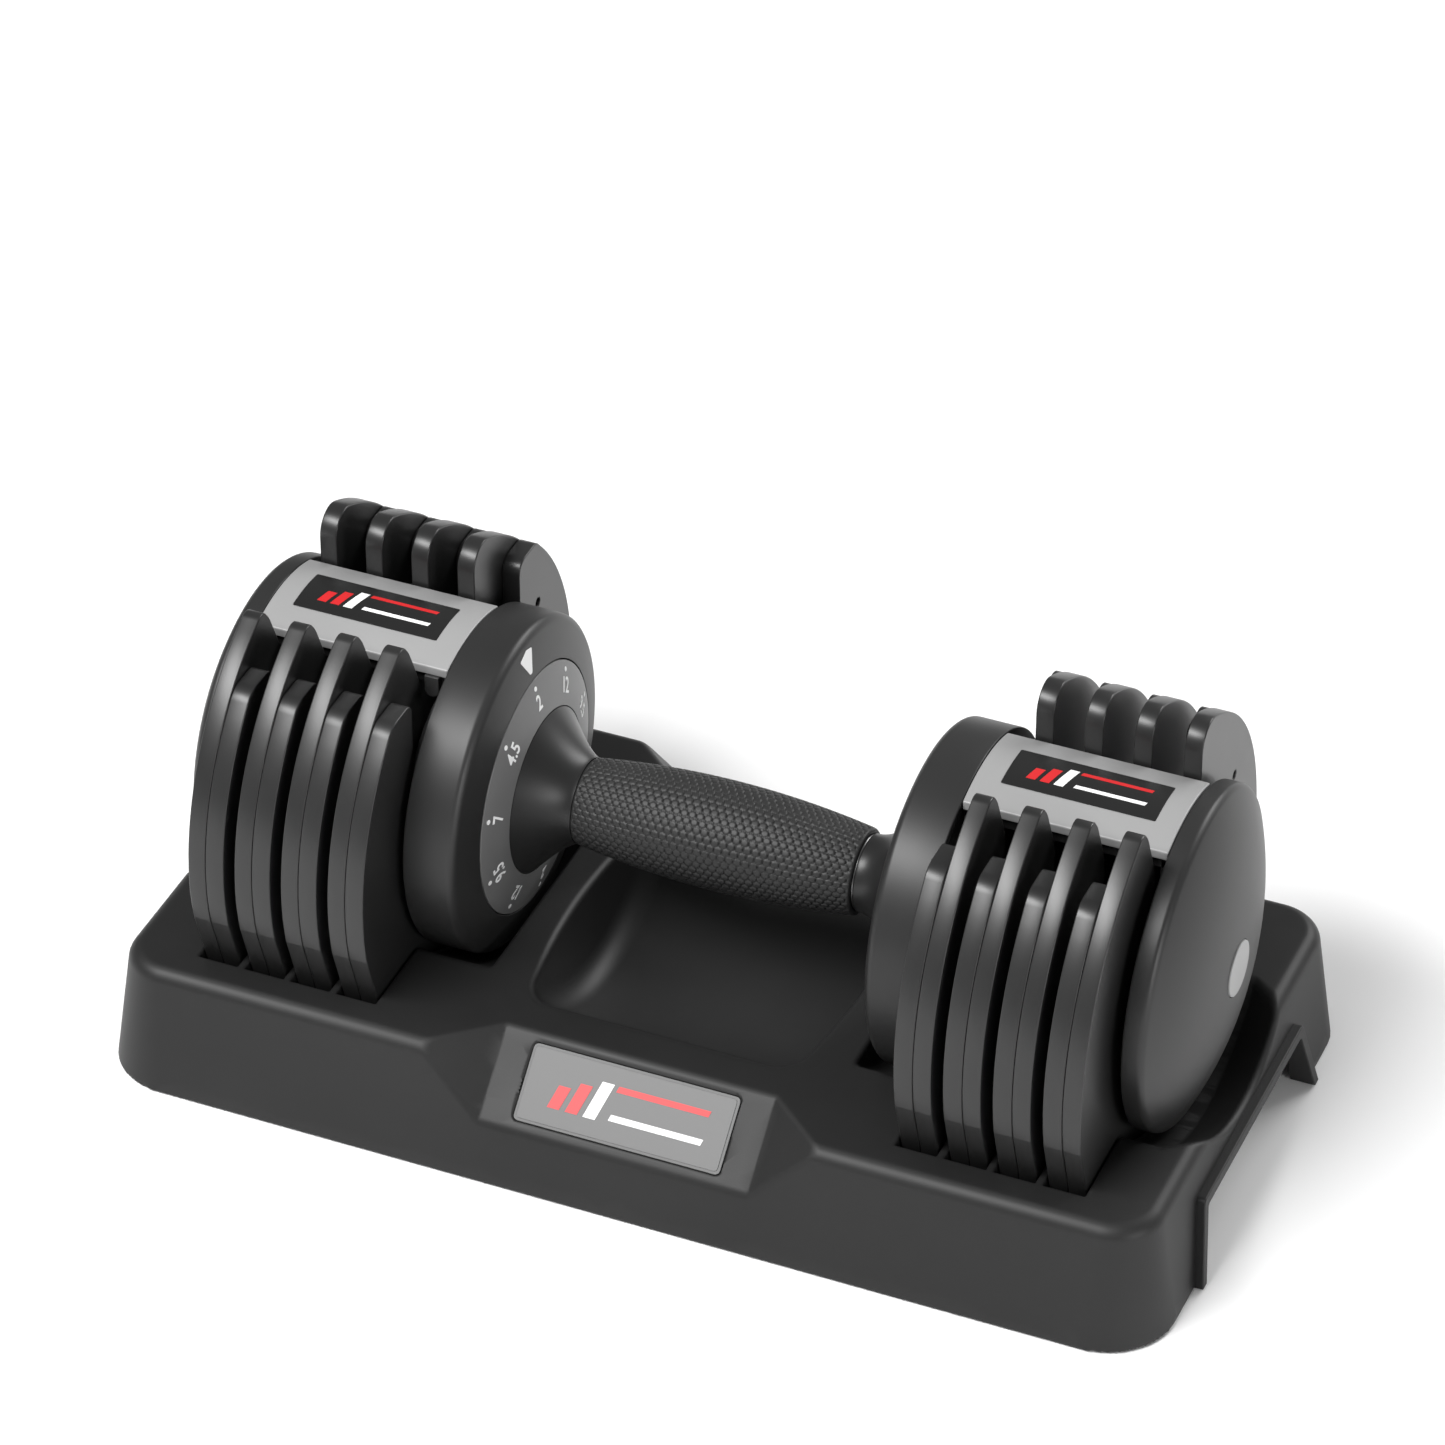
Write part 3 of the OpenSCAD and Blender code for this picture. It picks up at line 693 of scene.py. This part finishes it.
def inner_discs():
    for word, side in SIDES.items():
        bore = DIAL_R + 0.35 if side < 0 else 20.4
        rim_in = DISC_R - 3.5
        shape = [
            (face_x(bore), bore), (face_x(DISC_R - 1.8), DISC_R - 1.8), (FACE_EDGE_X + 1.8, DISC_R),
            (78.2, DISC_R), (DISC_BACK, DISC_R), (DISC_BACK, rim_in), (face_x(rim_in) + 3, rim_in),
            (face_x(bore) + 3, bore)]
        shape = [shape[0]] + round_corners(shape[:4], 2.6, 6, closed=False)[1:-1] + shape[3:]
        disc = lathe(f"inner_disc_shell_{word}", round_corners(shape, 0.5, 3), side)
        finish_piece(disc, DISC, "handle_frame", [f"inner_disc_{word}"])
        for a in (45, 135, 225, 315):
            y, z = 48 * math.cos(math.radians(a)), 48 * math.sin(math.radians(a))
            boss = rod(f"disc_boss_{word}_{a}", 4, side * 69.5, side * 85.2, y, z, 0.3)
            finish_piece(boss, DISC, "handle_frame", [])
    guide = tube_z("lock_guide", -81, 0, AXIS_Z - 53.6, AXIS_Z - 46, 3.3, 4.1)
    finish_piece(guide, DISC, "handle_frame", [])
    nest = tube_z("detent_nest", -74.8, 0, AXIS_Z + 30.8, AXIS_Z + 53.6, 2.5, 3.6)
    finish_piece(nest, DISC, "handle_frame", [])


def tube_z(name, x, y, z0, z1, r0, r1, segments=40):
    """An upright tube."""
    verts, faces = [], []
    for r, z in ((r0, z0), (r1, z0), (r1, z1), (r0, z1)):
        for m in range(segments):
            a = 2 * math.pi * m / segments
            verts.append((x + r * math.cos(a), y + r * math.sin(a), z))
    for row in range(4):
        a, b = row * segments, (row + 1) % 4 * segments
        faces += [(a + m, a + (m + 1) % segments, b + (m + 1) % segments, b + m) for m in range(segments)]
    obj = new_object(name, verts, faces)
    face_outwards(obj.data)
    return obj


def dome_x(r):
    """Where the outer disc's dome is at radius r."""
    return OUTER_RIM_X + (DOME_X - 0.3 - OUTER_RIM_X) * (1 - (r / (DISC_R - 1.5)) ** 2.4)


def outer_discs():
    for word, side in SIDES.items():
        rim = DISC_R - 0.3
        crown = [(dome_x(r), r) for r in np.linspace(CAP_R + 0.25, DISC_R - 3, 40)]
        edge = [crown[-1], (dome_x(DISC_R - 1.5), DISC_R - 1.5), (OUTER_RIM_X - 1.4, rim), (OUTER_X + 4, rim)]
        lip = round_corners(edge, 0.8, 5, closed=False)
        inner = [(dome_x(r) - 3.6, r) for r in np.linspace(DISC_R - 5.5, CAP_R + 0.2, 24)]
        shape = [(DOME_X - 6, 6), (DOME_X - 2.7, 6), (DOME_X - 2.7, CAP_R + 0.25)] + crown + lip[1:]
        edge = [(OUTER_X + 4, rim), (OUTER_X, rim), (OUTER_X, rim - 3.5), (OUTER_X + 4, rim - 3.5)]
        shape += round_corners(edge, 0.7, 4, closed=False)[1:]
        disc = lathe(f"outer_disc_shell_{word}", shape + inner, side, 192)
        finish_piece(disc, DISC, "handle_frame", [f"outer_disc_{word}"])
        cap_shape = [(DOME_X - 2.6, 0), (DOME_X - 2.6, CAP_R), (DOME_X, CAP_R), (DOME_X, 0)]
        cap_shape = round_corners(cap_shape, 0.35, 4, closed=False)
        cap = lathe(f"end_cap_{word}_disc", cap_shape, side, 96)
        finish_piece(cap, CAP, "handle_frame", [f"end_cap_{word}"])


# ---- Bridges over the plates ----


def band_outline(r0, r1, half):
    """Outline in (y, z) of an arc band with upright ends at y = -half and half."""
    edge0, edge1 = math.degrees(math.asin(half / r0)), math.degrees(math.asin(half / r1))
    return arc(0, 0, r1, 90 + edge1, 90 - edge1, 40) + arc(0, 0, r0, 90 - edge0, 90 + edge0, 40)


def on_cylinder(name, outline, r0, r1, centre_x):
    """A thin shape wrapped on the cover, from an outline in (along x, round the axis)."""
    work = bmesh.new()
    flat = [work.verts.new((centre_x + u, v, 0)) for u, v in outline]
    work.faces.new(flat)
    for level in np.arange(-9, 9.1, 1.0):
        geometry = work.verts[:] + work.edges[:] + work.faces[:]
        bmesh.ops.bisect_plane(work, geom=geometry, plane_co=(0, level, 0), plane_no=(0, 1, 0))
    solid = bmesh.ops.extrude_face_region(work, geom=work.faces[:])
    for v in [e for e in solid["geom"] if isinstance(e, bmesh.types.BMVert)]:
        v.co.z = 1
    for v in work.verts:
        r = r1 if v.co.z > 0.5 else r0
        a = v.co.y / r1
        v.co = Vector((v.co.x, r * math.sin(a), AXIS_Z + r * math.cos(a))) * MM
    bmesh.ops.recalc_face_normals(work, faces=work.faces)
    mesh = bpy.data.meshes.new(name)
    work.to_mesh(mesh)
    work.free()
    obj = bpy.data.objects.new(name, mesh)
    bpy.context.scene.collection.objects.link(obj)
    return obj


def bridges():
    for word, side in SIDES.items():
        beam = prism(f"bridge_beam_{word}", band_outline(49.5, 53.9, 18), side * DISC_BACK, side * OUTER_X)
        finish_piece(beam, HUB, "handle_frame", [f"bridge_{word}"], bevel=0.3)
        for n in PLATES:
            start = plate_span(n)[0] + 0.5
            shape = box_lug(f"bridge_lug_{word}_{n}", side * start, side * (start + 5))
            finish_piece(shape, CAM if n == 1 else HUB, "handle_frame", [], bevel=0.35)
        for k, (x0, x1) in enumerate(((DISC_BACK, DISC_BACK + 2.9), (OUTER_X - 2.9, OUTER_X))):
            corners = [(-18, 38.5), (18, 38.5), (18, 49.2), (-18, 49.2)]
            flange = prism(f"bridge_flange_{word}_{k + 1}", corners, side * x0, side * x1)
            finish_piece(flange, HUB, "handle_frame", [], bevel=0.4)
        x0, x1 = side * (DISC_BACK + 0.2), side * (OUTER_X - 0.2)
        cover = prism(f"bridge_cover_{word}_shell", band_outline(*COVER_R, COVER_W), x0, x1)
        finish_piece(cover, SILVER, "handle_frame", [f"bridge_cover_{word}"], bevel=0.5)
        middle = side * 122
        film = box_outline(25.5, 9.3, 0.6)
        label = on_cylinder(f"cover_label_{word}_film", film, COVER_R[1], LABEL_R, middle)
        finish_piece(label, LABEL, "handle_frame", [f"cover_label_{word}"], sharp=60)
        for k, (mark, tone) in enumerate(emblem_bars(1.0)):
            piece = on_cylinder(f"cover_mark_{word}_{k + 1}", mark, LABEL_R, LABEL_R + 0.07, middle)
            finish_piece(piece, tone, "handle_frame", [], sharp=60)


def box_lug(name, x0, x1):
    """A guide lug with a half-round foot, hanging from the front edge of a bridge."""
    middle, half = (x0 + x1) / 2, abs(x1 - x0) / 2
    top, foot = AXIS_Z + 50.3, AXIS_Z + 45
    outline = [(middle - half, top), (middle - half, foot)]
    for a in np.linspace(math.pi, 2 * math.pi, 13)[1:-1]:
        outline.append((middle + half * math.cos(a), foot + half * math.sin(a)))
    outline += [(middle + half, foot), (middle + half, top)]
    count = len(outline)
    verts = [(u, y, v) for y in (-20.4, -17.8) for u, v in outline]
    faces = [tuple(range(count)), tuple(range(2 * count - 1, count - 1, -1))]
    faces += [(k, (k + 1) % count, count + (k + 1) % count, count + k) for k in range(count)]
    obj = new_object(name, verts, faces)
    face_outwards(obj.data)
    return obj


# ---- Handle and dial ----


def grip_radius(x):
    return GRIP_MID_R - (GRIP_MID_R - GRIP_END_R) * (x / GRIP_HALF) ** 2


def grip_sleeve():
    """Rubber sleeve with a honeycomb of raised cells between fine grooves."""
    pitch, rows, groove = 2.77, 48, 0.46
    across = 6
    around = rows * across
    along = int(2 * GRIP_HALF / pitch * (8))
    verts, faces = [], []
    for i in range(along + 1):
        x = -GRIP_HALF + 2 * GRIP_HALF * i / along
        for k in range(around):
            cut = groove * honeycomb(x / pitch, k / across)
            if abs(x) > GRIP_HALF - 1.0:
                cut = groove * (abs(x) - GRIP_HALF + 1.0) ** 2
            a = 2 * math.pi * k / around
            r = grip_radius(x) - cut
            verts.append((x, r * math.cos(a), AXIS_Z + r * math.sin(a)))
    ends = []
    for x in (-GRIP_HALF, GRIP_HALF):
        ends.append(len(verts))
        for k in range(around):
            a = 2 * math.pi * k / around
            verts.append((x, 12.5 * math.cos(a), AXIS_Z + 12.5 * math.sin(a)))
    rings = [ends[0]] + [i * around for i in range(along + 1)] + [ends[1]]
    for a, b in zip(rings, rings[1:] + rings[:1]):
        faces += [(a + k, b + k, b + (k + 1) % around, a + (k + 1) % around) for k in range(around)]
    sleeve = new_object("grip_rubber_sleeve", verts, faces)
    face_outwards(sleeve.data)
    finish_piece(sleeve, GRIP, "rotor", ["grip_sleeve"], sharp=60)


def honeycomb(u, v):
    """0 on a raised cell, rising to 1 in the groove between cells. u and v count cells and rows."""
    best = []
    row = math.floor(v)
    for r in (row - 1, row, row + 1, row + 2):
        shift = 0.5 * (r % 2)
        c = round(u - shift) + shift
        for centre in (c - 1, c, c + 1):
            best.append(math.hypot(u - centre, (v - r) * 0.866))
    best.sort()
    edge = (best[1] - best[0]) / 2
    return max(0.0, 1 - edge / 0.14) ** 1.5 if edge < 0.14 else 0.0


def dial():
    x0, x1 = GRIP_HALF, face_x(HUB_R)
    growth = HUB_R - 0.25 - GRIP_END_R
    flare = [(x0 + (x1 - x0) * t, GRIP_END_R + growth * t ** 1.35) for t in np.linspace(0, 1, 40)]
    back = [(x1 + 1.5, HUB_R - 0.25), (face_x(DIAL_R) + 1.5, DIAL_R - 0.5), (70.5, DIAL_R - 0.5), (70.5, 6)]
    hub = lathe("dial_hub_flare", [(x0, 6)] + flare + back, -1)
    finish_piece(hub, HUB, "rotor", ["dial_hub"])
    shape = [
        (face_x(HUB_R), HUB_R), (face_x(DIAL_R), DIAL_R),
        (face_x(DIAL_R) + 1.5, DIAL_R), (face_x(HUB_R) + 1.5, HUB_R)]
    ring = lathe("dial_ring_face", round_corners(shape, 0.3, 3), -1, 192)
    finish_piece(ring, DIAL, "rotor", ["dial_ring"])
    settings = ["2", "4.5", "7", "9.5", "12"]
    for k in range(10):
        angle = 90 + 36 * k
        word = settings[k % 5]
        dial_number(f"dial_number_{k + 1}", word, angle)
        dot = dial_dot(f"dial_dot_{k + 1}", angle, 39.6, 0.85)
        finish_piece(dot, WHITE, "rotor", [])


def cone_place(angle, r, lift=0.0):
    """Frame on the left disc's conical face: X to the right, Y outwards, Z out of the face."""
    a = math.radians(angle)
    radial = Vector((0, math.cos(a), math.sin(a)))
    out = (Vector((1, 0, 0)) + radial * FACE_SLOPE).normalized()
    up = (radial - out * radial.dot(out)).normalized()
    right = up.cross(out)
    centre = Vector((-face_x(r), r * radial.y, AXIS_Z + r * radial.z)) + out * lift
    place = Matrix.Identity(4)
    for column, axis in enumerate((right, up, out)):
        place.col[column] = tuple(axis) + (0,)
    place.col[3] = tuple(centre * MM) + (1,)
    return place


def dial_number(name, word, angle):
    text = bpy.data.curves.new(name, "FONT")
    text.body = word
    text.size = 7.4 * MM
    text.align_x = "CENTER"
    text.align_y = "CENTER"
    text.extrude = 0.06 * MM
    text.offset = 0.11 * MM
    text.resolution_u = 3
    drawn = bpy.data.objects.new(name + "_text", text)
    bpy.context.scene.collection.objects.link(drawn)
    mesh = bpy.data.meshes.new_from_object(drawn.evaluated_get(bpy.context.evaluated_depsgraph_get()))
    bpy.data.objects.remove(drawn)
    narrow = Matrix.Diagonal((0.82, 1, 1, 1))
    mesh.transform(cone_place(angle, 34.4, 0.03) @ narrow)
    mesh.name = name
    face_outwards(mesh)
    obj = bpy.data.objects.new(name, mesh)
    bpy.context.scene.collection.objects.link(obj)
    finish_piece(obj, WHITE, "rotor", [])


def dial_dot(name, angle, r, size):
    angles = np.linspace(0, 2 * math.pi, 24, endpoint=False)
    outline = [(size * math.cos(a), size * math.sin(a)) for a in angles]
    return flat_shape(name, outline, -0.05, 0.1, cone_place(angle, r))


def pointer():
    """White wedge on the left disc that points at the chosen number."""
    r0, r1 = 45.2, 53.6
    shape = [(-4.4, r1 - 1.6 - r0), (0.9, r1 - r0), (4.4, r1 - 1.0 - r0), (0.8, 0), (-0.6, 0)]
    mark = flat_shape("pointer_wedge", round_corners(shape, 0.5, 3), -0.1, 0.1, cone_place(90, r0))
    finish_piece(mark, WHITE, "handle_frame", ["pointer_mark"])


def right_collar():
    x0 = GRIP_HALF + 0.5
    flare = [(x0 + 0.6 + 12 * t, 13 + 7 * t ** 2) for t in np.linspace(0, 1, 24)]
    shape = [(x0, 6), (x0, 12.2), (x0 + 0.2, 12.9)] + flare + [(66, 20), (66, 6)]
    collar = lathe("grip_collar_flare", shape, 1)
    finish_piece(collar, HUB, "rotor", ["grip_collar"])


def core_parts():
    tube = round_corners([(-48.5, 6), (-48.5, 12.45), (48.9, 12.45), (48.9, 6)], 0.3, 3)
    core = lathe("grip_core_tube", tube, 1, 96)
    finish_piece(core, ALLOY, "rotor", ["grip_core"])
    end = SHAFT_HIGH[0]
    shaft = rod("drive_shaft_bar", 5.99, -end, end, edge=0.6, segments=96)
    finish_piece(shaft, STEEL, "rotor", ["drive_shaft"])


# ---- Hidden parts, kept from the frame with finished surfaces ----


def coil(name, x, z0, z1, r, wire, turns):
    """A compression spring standing on z0, with closed ends."""
    steps, around = turns * 20, 10
    verts, faces = [], []
    for i in range(steps + 1):
        t = i / steps
        a = 2 * math.pi * turns * t
        ease = min(max((t * turns - 0.8) / (turns - 1.6), 0), 1)
        z = z0 + wire + (z1 - z0 - 2 * wire) * ease
        radial = Vector((math.cos(a), math.sin(a), 0))
        for k in range(around):
            b = 2 * math.pi * k / around
            p = radial * (r - wire + wire * math.cos(b)) + Vector((x, 0, z + wire * math.sin(b)))
            verts.append(tuple(p))
    for i in range(steps):
        for k in range(around):
            m = (k + 1) % around
            faces.append((i * around + k, i * around + m, (i + 1) * around + m, (i + 1) * around + k))
    faces.append(tuple(range(around)))
    faces.append(tuple(range(steps * around, (steps + 1) * around))[::-1])
    obj = new_object(name, verts, faces)
    face_outwards(obj.data)
    return obj


def small_parts():
    lock = coil("lock_spring_coil", -81, AXIS_Z - 18.6, AXIS_Z - 11.3, 2.6, 0.35, 5)
    finish_piece(lock, STEEL, "handle_frame", ["lock_spring"])
    detent = coil("detent_spring_coil", -74.8, AXIS_Z + 35.3, AXIS_Z + 50.8, 2.3, 0.35, 9)
    finish_piece(detent, STEEL, "handle_frame", ["detent_spring"])
    kept = {
        "lock_pin": STEEL, "lock_wheel": STEEL, "bushings": BRASS, "bridge_screws": STEEL,
        "disc_screws": STEEL, "shaft_nuts": STEEL, "detent_ball": STEEL, "inner_back_left": DISC,
        "inner_back_right": DISC, "outer_back_left": DISC, "outer_back_right": DISC}
    kept.update({f"selector_cams_{n}": CAM for n in PLATES})
    for node, mat in kept.items():
        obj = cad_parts[node]
        obj.data.materials.clear()
        obj.data.materials.append(mat)
        obj.data.polygons.foreach_set("use_smooth", [True] * len(obj.data.polygons))
        obj.data.set_sharp_from_angle(angle=math.radians(30))


# ---- Stage ----

VIEW_DIR = Vector((-0.31332, 0.74028, -0.59482))
CAMERA_AT = Vector((0.6452, -1.5270, 1.3570))


def stage():
    floor_mesh = bpy.data.meshes.new("floor")
    half = 6
    corners = [(-half, -half, 0), (half, -half, 0), (half, half, 0), (-half, half, 0)]
    floor_mesh.from_pydata(corners, [], [(0, 1, 2, 3)])
    floor = bpy.data.objects.new("floor", floor_mesh)
    bpy.context.scene.collection.objects.link(floor)
    paper = bpy.data.materials.new("floor_paper")
    paper.use_nodes = True
    shader = paper.node_tree.nodes["Principled BSDF"]
    shader.inputs["Base Color"].default_value = (0.93, 0.93, 0.93, 1)
    shader.inputs["Roughness"].default_value = 0.9
    floor_mesh.materials.append(paper)

    world = bpy.data.worlds.new("studio")
    world.use_nodes = True
    world.node_tree.nodes["Background"].inputs["Color"].default_value = (1, 1, 1, 1)
    world.node_tree.nodes["Background"].inputs["Strength"].default_value = 0.27
    bpy.context.scene.world = world
    bpy.context.scene.view_settings.view_transform = "Standard"

    def softbox(name, at, aim, size, power):
        light = bpy.data.lights.new(name, "AREA")
        light.shape = "RECTANGLE"
        light.size, light.size_y = size
        light.energy = power
        lamp = bpy.data.objects.new(name, light)
        lamp.location = at
        lamp.rotation_euler = (Vector(aim) - Vector(at)).to_track_quat("-Z", "Y").to_euler()
        bpy.context.scene.collection.objects.link(lamp)

    softbox("key_front", (-0.6, -1.0, 1.65), (-0.1, -0.1, 0.08), (1.3, 0.6), 52)
    softbox("fill_back", (0.9, 1.9, 1.3), (0, 0.2, 0), (1.4, 0.8), 30)
    softbox("side_right", (1.9, -0.9, 0.55), (0.1, 0, 0.1), (0.6, 0.6), 13)

    camera_data = bpy.data.cameras.new("camera")
    camera_data.sensor_width = 36
    camera_data.lens = 162.1
    camera_data.clip_end = 50
    camera_data.shift_x = 0.0
    camera_data.shift_y = 0.0
    camera = bpy.data.objects.new("camera", camera_data)
    camera.location = CAMERA_AT
    camera.rotation_euler = VIEW_DIR.to_track_quat("-Z", "Y").to_euler()
    bpy.context.scene.collection.objects.link(camera)
    bpy.context.scene.camera = camera


tray_shell()
finger_lips()
tray_feet()
badges()
weight_plates()
inner_discs()
outer_discs()
bridges()
grip_sleeve()
dial()
pointer()
right_collar()
core_parts()
small_parts()
stage()
